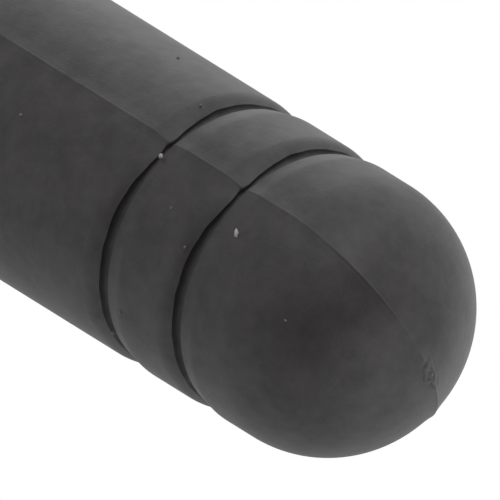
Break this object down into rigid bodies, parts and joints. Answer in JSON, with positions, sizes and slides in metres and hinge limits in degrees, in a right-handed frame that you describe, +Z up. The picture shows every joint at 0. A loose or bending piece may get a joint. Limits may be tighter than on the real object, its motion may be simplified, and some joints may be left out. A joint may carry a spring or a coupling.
{
  "type": "wifi antenna",
  "caption": "Black tilt-and-swivel wifi antenna: tapered round whip with ring grooves and a dome end, folding knuckle and a screw-on coaxial plug.",
  "frame": {"origin": "on the plug's axis, at the mouth of the coupling nut", "axes": "+Z up the antenna to its tip, +X the way the whip tilts, Y along the tilt axis"},
  "size_m": [0.0098, 0.0098, 0.108],
  "materials": {
    "sheath_rubber": "matte moulded, very fine grain",
    "hinge_plastic": "satin moulded",
    "gold_plate": "bright gold plating",
    "bare_brass": "turned brass",
    "gasket_rubber": "soft silicone",
    "white_insulator": "smooth waxy white",
    "clear_dielectric": "smooth waxy",
    "cable_jacket": "smooth satin",
    "tinned_metal": "tinned, dull silver",
    "shrink_sleeve": "satin",
    "foam_white": "fine foam"
  },
  "bodies": {
    "plug": {"connector_body": "gold_plate", "insulator": "white_insulator", "centre_contact": "gold_plate", "seal_gasket": "gasket_rubber", "snap_ring": "bare_brass", "crimp_ferrule": "bare_brass"},
    "nut": {"coupling_nut": "gold_plate"},
    "fork": {"lower_knuckle": "hinge_plastic", "pivot_pin_left": "bare_brass", "pivot_pin_right": "bare_brass"},
    "whip": {"upper_knuckle": "hinge_plastic", "sheath": "sheath_rubber", "coax_jacket": "cable_jacket", "coax_braid": "tinned_metal", "coax_dielectric": "clear_dielectric", "coax_core": "tinned_metal", "dipole_sleeve": "bare_brass", "sleeve_solder": "tinned_metal", "upper_radiator": "bare_brass", "heat_shrink": "shrink_sleeve", "tip_spacer": "foam_white"}
  },
  "joints": [
    {"name": "nut_spin", "type": "hinge", "parent": "plug", "child": "nut", "pos_m": [0, 0, 0.004], "axis": [0, 0, 1], "continuous": true},
    {"name": "swivel", "type": "hinge", "parent": "plug", "child": "fork", "pos_m": [0, 0, 0.0105], "axis": [0, 0, 1], "range_deg": [-165, 165], "deforming": ["coax_jacket", "coax_braid", "coax_dielectric", "coax_core"]},
    {"name": "tilt", "type": "hinge", "parent": "fork", "child": "whip", "pos_m": [0, 0, 0.0212], "axis": [0, 1, 0], "range_deg": [0, 90], "deforming": ["coax_jacket", "coax_braid", "coax_dielectric", "coax_core"]}
  ]
}
